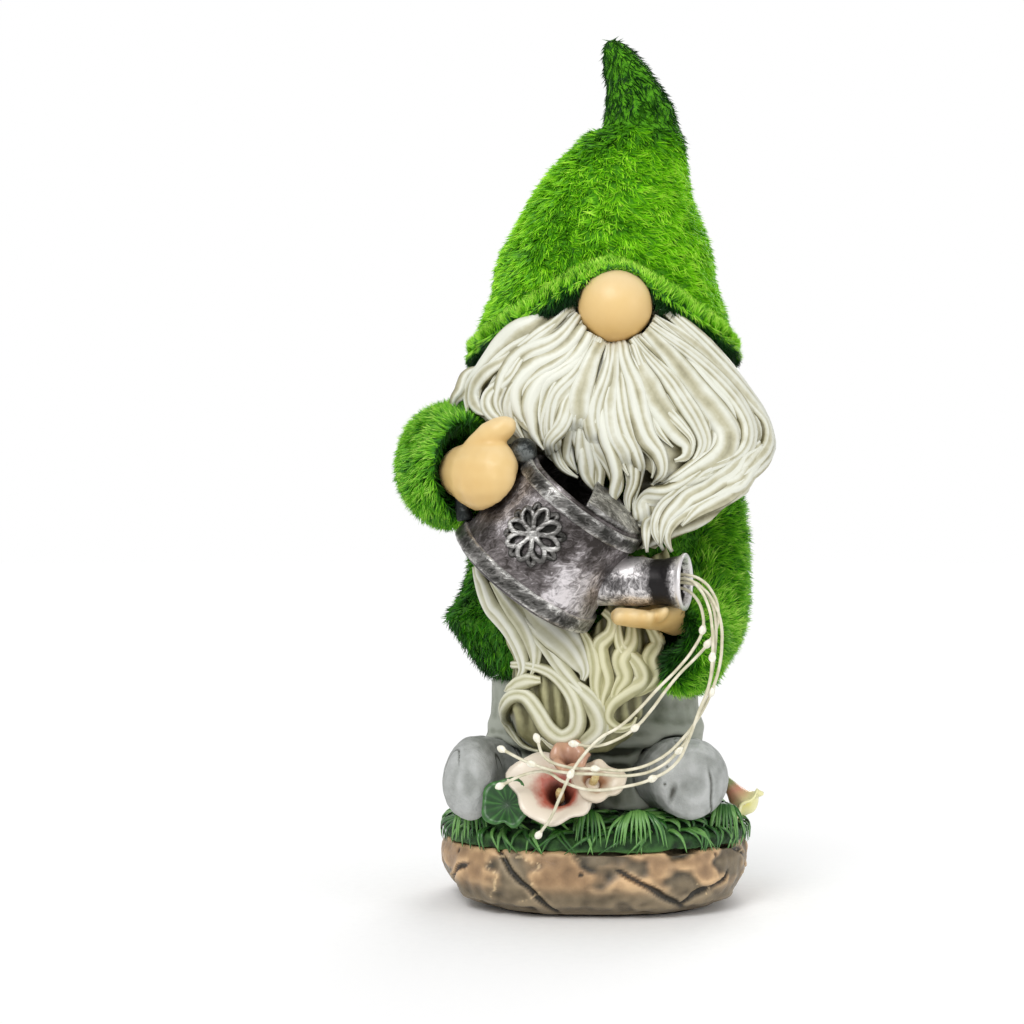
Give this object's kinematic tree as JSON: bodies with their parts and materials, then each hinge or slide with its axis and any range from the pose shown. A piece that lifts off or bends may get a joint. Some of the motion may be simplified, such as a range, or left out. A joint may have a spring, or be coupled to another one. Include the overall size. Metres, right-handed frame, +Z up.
{
  "type": "garden gnome ornament",
  "caption": "Garden gnome in flocked hat and coat with long beard, pouring strands of fine lights from a watering can onto calla lilies on a rock base, solar module in its back.",
  "frame": {"origin": "middle of the felt pad's underside, which rests on the ground", "axes": "+Z up to the hat's tip, the gnome faces -Y, its left hand is at +X"},
  "size_m": [0.112, 0.1035, 0.266],
  "materials": {
    "rock": "bronze-brown painted cast stone, matt with worn highlights",
    "felt": "pressed felt",
    "rubber": "soft moulded rubber",
    "moss": "dark green glossy enamel over cast resin",
    "grass": "green glossy enamel blades",
    "leaf": "green glossy enamel leaf",
    "petal_pink": "pink and cream painted petal, satin",
    "petal_white": "cream painted petal, satin",
    "petal_brown": "brown-pink painted petal, satin",
    "petal_yellow": "yellow painted petal with a pink edge, satin",
    "spadix": "cream painted spadix",
    "boot": "grey painted cast resin, pitted",
    "trouser": "slate-grey painted cast resin",
    "coat_flock": "short green flock",
    "sleeve_flock": "short bright green flock",
    "skin": "peach painted cast resin, satin",
    "face_cast": "off-white painted cast resin",
    "hat_flock": "short bright green flock",
    "brim_flock": "short green flock, dark under the roll",
    "beard": "white painted cast resin with an olive wash in the grooves",
    "beard_curls": "cream painted cast resin with an olive wash",
    "pewter": "dark pewter paint, dry-brushed silver",
    "pewter_bright": "pewter paint, silver on the edges",
    "pewter_dark": "dark pewter paint",
    "strand": "fine coated wire",
    "lamp": "clear resin drop over a warm lamp",
    "lead_jacket": "thin cable jacket",
    "black_plastic": "moulded, fine texture",
    "solar_cells": "solar cells under clear epoxy",
    "circuit": "green solder mask",
    "cell_wrap": "heat-shrunk sleeve",
    "contact": "nickel-plated spring steel",
    "screw": "zinc-plated",
    "switch_body": "moulded switch",
    "button": "soft-touch button cap"
  },
  "bodies": {
    "figure": {"rock_base": "rock", "base_pad": "felt", "pour_plug": "rubber", "grass_mound": "moss", "grass_tufts": "grass", "round_leaf": "leaf", "lily_large": "petal_pink", "lily_large_spadix": "spadix", "lily_small": "petal_white", "lily_small_spadix": "spadix", "lily_bud": "petal_brown", "side_lily": "petal_yellow", "side_lily_spadix": "spadix", "boot_right": "boot", "boot_left": "boot", "trouser_right": "trouser", "trouser_left": "trouser", "coat": "coat_flock", "sleeve_right": "sleeve_flock", "sleeve_left": "sleeve_flock", "hand_right": "skin", "hand_left": "skin", "head": "face_cast", "nose": "skin", "hat_crown": "hat_flock", "hat_brim": "brim_flock", "beard_upper": "beard", "beard_lower": "beard_curls", "beard_lock": "beard", "can_drum": "pewter", "can_band_rim": "pewter_bright", "can_band_floor": "pewter_bright", "can_cover": "pewter_bright", "can_handle": "pewter_dark", "can_spout": "pewter", "can_rosette": "pewter_bright", "strand_a": "strand", "strand_b": "strand", "strand_c": "strand", "strand_d_low": "strand", "strand_e": "strand", "lamp_drops": "lamp", "light_lead": "lead_jacket", "solar_housing": "black_plastic", "housing_back": "black_plastic", "solar_panel": "solar_cells", "circuit_board": "circuit", "battery": "cell_wrap", "battery_contacts": "contact", "power_switch": "switch_body"},
    "battery_door": {"battery_door": "black_plastic", "door_screws": "screw"},
    "button": {"switch_button": "button"}
  },
  "joints": [
    {"name": "door_lift", "type": "slide", "parent": "figure", "child": "battery_door", "axis": [0, 0.9659, 0.2588], "range_m": [0, 0.02]},
    {"name": "button_press", "type": "slide", "parent": "figure", "child": "button", "axis": [0, -0.9659, -0.2588], "range_m": [0, 0.001], "stiffness_N_per_m": 600}
  ]
}
